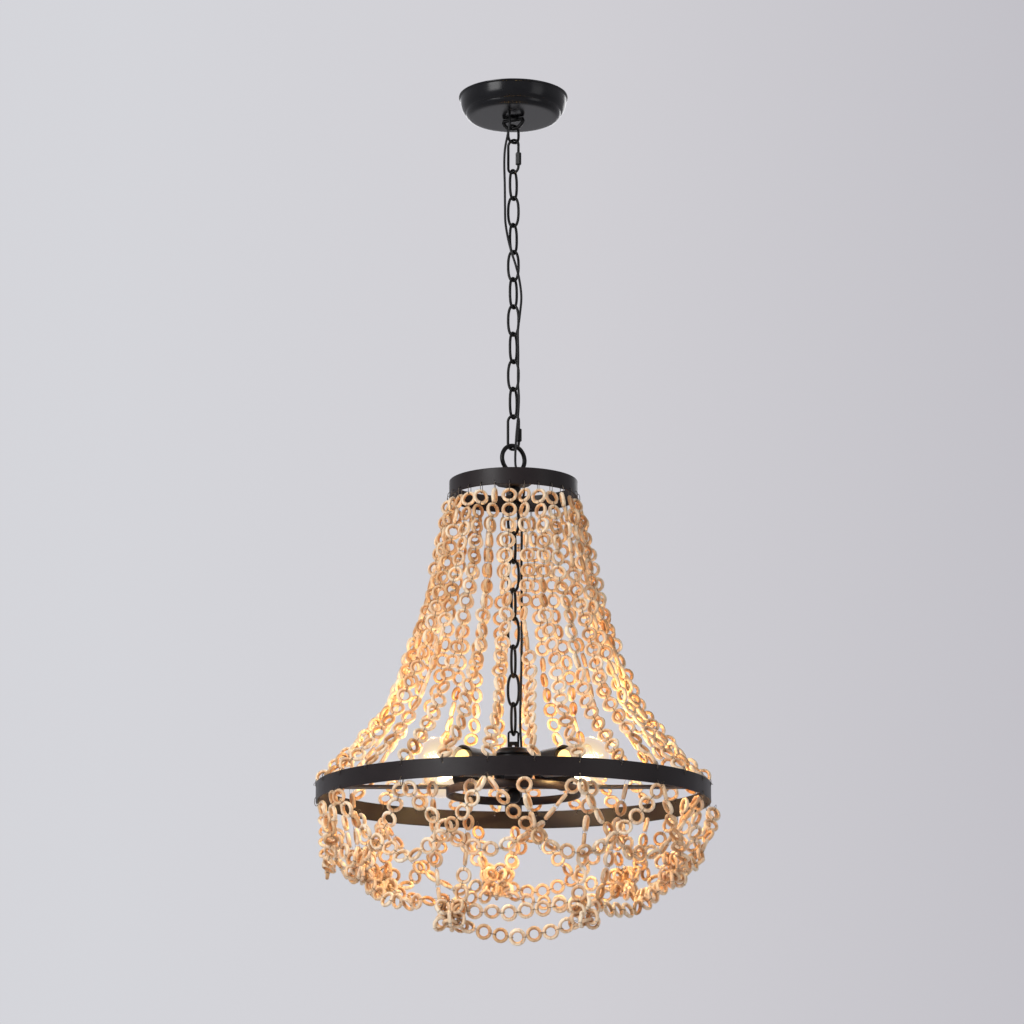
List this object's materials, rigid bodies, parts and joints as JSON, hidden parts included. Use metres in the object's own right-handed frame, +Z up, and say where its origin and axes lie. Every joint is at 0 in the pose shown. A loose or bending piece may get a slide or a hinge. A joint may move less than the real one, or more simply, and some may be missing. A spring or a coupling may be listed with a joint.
{
  "type": "beaded chandelier",
  "caption": "Ceiling chandelier hung on a chain: strands of small wooden rings flare from a small hoop to a wide hoop around bulbs, with ring garlands below.",
  "frame": {"origin": "centre of the ceiling face of the mounting bar, inside the canopy", "axes": "+Z up towards the ceiling, -Y towards the viewer of the picture, +X to the right"},
  "size_m": [0.4537, 0.4542, 1.0132],
  "materials": {
    "satin_black": "satin black",
    "dark_band": "dark satin",
    "zinc": "zinc plated",
    "black_cable": "smooth black sheath",
    "pale_plastic": "matt",
    "warm_glass": "frosted, lit warm",
    "pale_wood": "unvarnished pale wood"
  },
  "bodies": {
    "ceiling_mount": {"mounting_bar": "zinc", "canopy": "satin_black", "canopy_lock_nut": "zinc", "terminal_block": "pale_plastic", "canopy_loop": "satin_black", "power_cable_upper": "black_cable"},
    "link_01": {"chain_link_01": "satin_black"},
    "quick_link_a": {"quick_link_upper": "satin_black"},
    "link_02": {"chain_link_02": "satin_black"},
    "link_03": {"chain_link_03": "satin_black"},
    "link_04": {"chain_link_04": "satin_black"},
    "link_05": {"chain_link_05": "satin_black"},
    "link_06": {"chain_link_06": "satin_black"},
    "link_07": {"chain_link_07": "satin_black"},
    "link_08": {"chain_link_08": "satin_black"},
    "link_09": {"chain_link_09": "satin_black"},
    "link_10": {"chain_link_10": "satin_black"},
    "quick_link_b": {"quick_link_lower": "satin_black"},
    "shade": {"fixture_loop": "satin_black", "loop_washer": "satin_black", "top_crossbar": "dark_band", "top_hoop": "dark_band", "inner_eye_nut": "satin_black", "inner_link_01": "satin_black", "inner_link_02": "satin_black", "inner_link_03": "satin_black", "inner_link_04": "satin_black", "inner_link_05": "satin_black", "inner_link_06": "satin_black", "inner_link_07": "satin_black", "inner_link_08": "satin_black", "hub_loop": "satin_black", "hub_cap": "satin_black", "hub_body": "satin_black", "hub_finial": "satin_black", "spoke_cross": "dark_band", "inner_hoop": "dark_band", "big_hoop": "dark_band", "lamp_socket_1": "satin_black", "lamp_socket_2": "satin_black", "lamp_socket_3": "satin_black", "lamp_socket_4": "satin_black", "power_cable_lower": "black_cable", "bead_strands_1": "pale_wood", "bead_strands_2": "pale_wood", "bead_strands_3": "pale_wood", "bead_strands_4": "pale_wood", "bead_strands_5": "pale_wood", "bead_strands_6": "pale_wood", "bead_strands_7": "pale_wood", "outer_swag_garland": "pale_wood", "inner_swag_garland": "pale_wood", "deep_swag_garland": "pale_wood", "bottom_swag_garland": "pale_wood"},
    "quick_nut_a": {"quick_link_upper_nut": "satin_black"},
    "quick_nut_b": {"quick_link_lower_nut": "satin_black"},
    "bulb_1_body": {"bulb_1": "warm_glass"},
    "bulb_2_body": {"bulb_2": "warm_glass"},
    "bulb_3_body": {"bulb_3": "warm_glass"},
    "bulb_4_body": {"bulb_4": "warm_glass"}
  },
  "joints": [
    {"name": "link_01_swing", "type": "hinge", "parent": "ceiling_mount", "child": "link_01", "pos_m": [0, 0, -0.03975], "axis": [0.9063, -0.4226, 0], "range_deg": [-10, 10], "deforming": ["power_cable_upper"]},
    {"name": "quick_link_a_swing", "type": "hinge", "parent": "link_01", "child": "quick_link_a", "pos_m": [0, 0, -0.0571], "axis": [0.8192, 0.5736, 0], "range_deg": [-10, 10]},
    {"name": "link_02_swing", "type": "hinge", "parent": "quick_link_a", "child": "link_02", "pos_m": [0, 0, -0.0945], "axis": [0.866, -0.5, 0], "range_deg": [-10, 10]},
    {"name": "link_03_swing", "type": "hinge", "parent": "link_02", "child": "link_03", "pos_m": [0, 0, -0.1276], "axis": [0.6428, 0.766, 0], "range_deg": [-10, 10]},
    {"name": "link_04_swing", "type": "hinge", "parent": "link_03", "child": "link_04", "pos_m": [0, 0, -0.1608], "axis": [0.9848, -0.1736, 0], "range_deg": [-10, 10]},
    {"name": "link_05_swing", "type": "hinge", "parent": "link_04", "child": "link_05", "pos_m": [0, 0, -0.194], "axis": [0.6428, 0.766, 0], "range_deg": [-10, 10]},
    {"name": "link_06_swing", "type": "hinge", "parent": "link_05", "child": "link_06", "pos_m": [0, 0, -0.2272], "axis": [0.9848, -0.1736, 0], "range_deg": [-10, 10]},
    {"name": "link_07_swing", "type": "hinge", "parent": "link_06", "child": "link_07", "pos_m": [0, 0, -0.2604], "axis": [0.6428, 0.766, 0], "range_deg": [-10, 10]},
    {"name": "link_08_swing", "type": "hinge", "parent": "link_07", "child": "link_08", "pos_m": [0, 0, -0.2936], "axis": [0.9848, -0.1736, 0], "range_deg": [-10, 10]},
    {"name": "link_09_swing", "type": "hinge", "parent": "link_08", "child": "link_09", "pos_m": [0, 0, -0.3268], "axis": [0.6428, 0.766, 0], "range_deg": [-10, 10]},
    {"name": "link_10_swing", "type": "hinge", "parent": "link_09", "child": "link_10", "pos_m": [0, 0, -0.36], "axis": [0.9848, -0.1736, 0], "range_deg": [-10, 10]},
    {"name": "quick_link_b_swing", "type": "hinge", "parent": "link_10", "child": "quick_link_b", "pos_m": [0, 0, -0.3932], "axis": [0.6428, 0.766, 0], "range_deg": [-10, 10]},
    {"name": "shade_swing", "type": "hinge", "parent": "quick_link_b", "child": "shade", "pos_m": [0, 0, -0.4306], "axis": [0.9063, -0.4226, 0], "range_deg": [-10, 10]},
    {"name": "quick_nut_a_slide", "type": "slide", "parent": "quick_link_a", "child": "quick_nut_a", "axis": [0, 0, 1], "range_m": [0, 0.008]},
    {"name": "quick_nut_b_slide", "type": "slide", "parent": "quick_link_b", "child": "quick_nut_b", "axis": [0, 0, 1], "range_m": [0, 0.008]},
    {"name": "bulb_1_screw", "type": "hinge", "parent": "shade", "child": "bulb_1_body", "pos_m": [0, 0, -0.802], "axis": [0.7071, -0.7071, 0], "range_deg": [0, 180]},
    {"name": "bulb_2_screw", "type": "hinge", "parent": "shade", "child": "bulb_2_body", "pos_m": [0, 0, -0.802], "axis": [0.7071, 0.7071, 0], "range_deg": [0, 180]},
    {"name": "bulb_3_screw", "type": "hinge", "parent": "shade", "child": "bulb_3_body", "pos_m": [0, 0, -0.802], "axis": [-0.7071, 0.7071, 0], "range_deg": [0, 180]},
    {"name": "bulb_4_screw", "type": "hinge", "parent": "shade", "child": "bulb_4_body", "pos_m": [0, 0, -0.802], "axis": [-0.7071, -0.7071, 0], "range_deg": [0, 180]}
  ]
}
